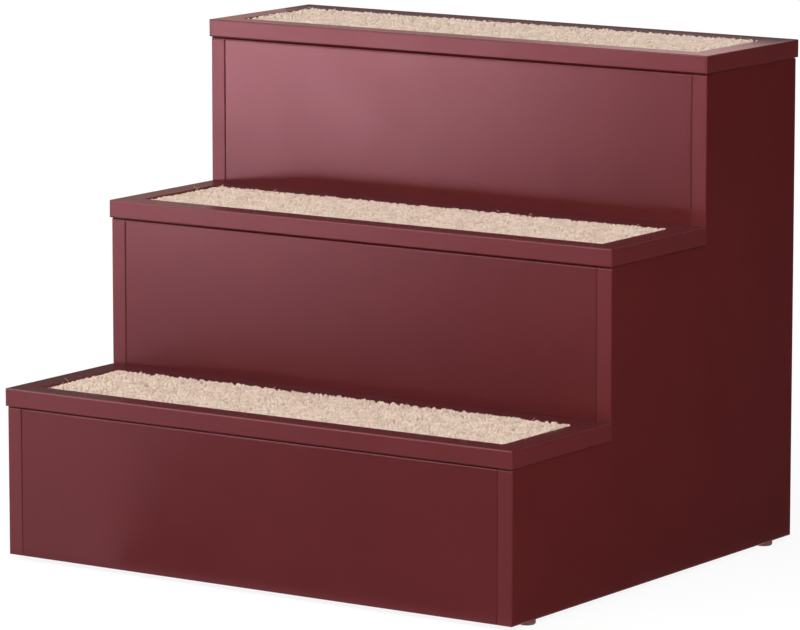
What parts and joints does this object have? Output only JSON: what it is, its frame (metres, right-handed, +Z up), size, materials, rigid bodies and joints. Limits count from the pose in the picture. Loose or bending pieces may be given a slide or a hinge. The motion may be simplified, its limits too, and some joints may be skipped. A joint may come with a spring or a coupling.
{
  "type": "pet stairs",
  "caption": "Free-standing stepped box of painted boards that lets a small pet climb to a bed or sofa, with a carpet inset in each tread.",
  "frame": {"origin": "on the floor, under the middle of the overall box", "axes": "+X to the right and along the treads, -Y towards the front where the lowest step is, +Z up"},
  "size_m": [0.527, 0.4614, 0.4485],
  "materials": {
    "painted_board": "satin burgundy lacquer over medium-density fibreboard",
    "carpet": "beige cut-pile carpet, short dense pile",
    "raw_batten": "planed softwood, unfinished",
    "dowel_wood": "turned beech, unfinished",
    "zinc_steel": "bright zinc-plated steel",
    "cam_alloy": "die-cast zinc alloy, matt grey",
    "glide_plastic": "moulded brown plastic, smooth"
  },
  "bodies": {
    "root": {"left_side_panel": "painted_board", "right_side_panel": "painted_board", "lower_riser": "painted_board", "middle_riser": "painted_board", "upper_riser": "painted_board", "back_panel": "painted_board", "lower_tread": "painted_board", "middle_tread": "painted_board", "upper_tread": "painted_board", "lower_carpet": "carpet", "middle_carpet": "carpet", "upper_carpet": "carpet", "lower_left_cleat": "raw_batten", "lower_right_cleat": "raw_batten", "lower_rear_cleat": "raw_batten", "middle_left_cleat": "raw_batten", "middle_right_cleat": "raw_batten", "middle_rear_cleat": "raw_batten", "upper_left_cleat": "raw_batten", "upper_right_cleat": "raw_batten", "upper_rear_cleat": "raw_batten", "front_left_glide": "glide_plastic", "front_right_glide": "glide_plastic", "rear_left_glide": "glide_plastic", "rear_right_glide": "glide_plastic", "dowels": "dowel_wood", "cam_bolts": "zinc_steel", "cam_discs": "cam_alloy", "cleat_screws": "zinc_steel", "tread_screws": "zinc_steel", "glide_nails": "zinc_steel"}
  },
  "joints": []
}
